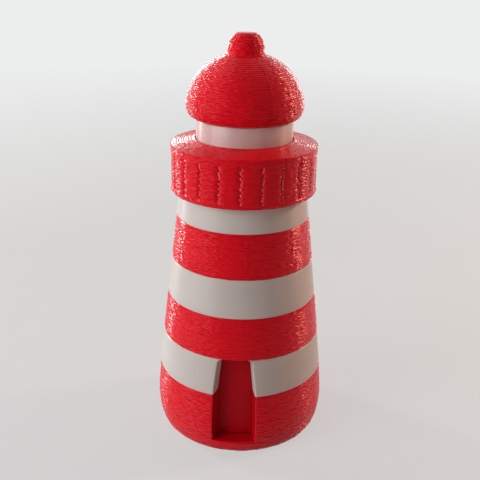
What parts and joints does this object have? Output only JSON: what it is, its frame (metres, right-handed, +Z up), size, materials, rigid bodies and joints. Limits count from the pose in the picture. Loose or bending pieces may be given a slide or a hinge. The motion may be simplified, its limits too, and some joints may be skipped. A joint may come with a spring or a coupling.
{
  "type": "miniature lighthouse",
  "caption": "Striped desk lighthouse: hollow tapered tower with a doorway, lobed screw-down gallery, plain lantern and pull-off dome roof.",
  "frame": {"origin": "middle of the base's underside, on the tower's axis", "axes": "+Z up along the tower's axis, the doorway faces -Y, +X is to the right seen from the doorway's side"},
  "size_m": [0.034, 0.0337, 0.0789],
  "materials": {
    "red_textured": "printed plastic with a fine streaky skin",
    "red_smooth": "printed plastic with plain layers",
    "white_smooth": "printed plastic, satin, slightly see-through at the edges"
  },
  "bodies": {
    "tower": {"base_cup": "red_textured", "core_tube": "red_smooth", "door_band": "white_smooth", "lower_red_band": "red_textured", "middle_white_band": "white_smooth", "upper_red_band": "red_textured", "top_white_band": "white_smooth"},
    "lantern": {"lantern_ring": "white_smooth"},
    "gallery": {"gallery_nut": "red_textured"},
    "roof": {"dome_roof": "red_textured"}
  },
  "joints": [
    {"name": "top_lift", "type": "slide", "parent": "tower", "child": "lantern", "axis": [0, 0, 1], "range_m": [0, 0.00408]},
    {"name": "gallery_turn", "type": "hinge", "parent": "lantern", "child": "gallery", "pos_m": [0, 0, 0], "axis": [0, 0, 1], "range_deg": [0, 588]},
    {"name": "roof_lift", "type": "slide", "parent": "lantern", "child": "roof", "axis": [0, 0, 1], "range_m": [0, 0.008]}
  ],
  "couplings": [
    {"joint": "top_lift", "follows": "gallery_turn", "m_per_rad": 0.00039789}
  ]
}
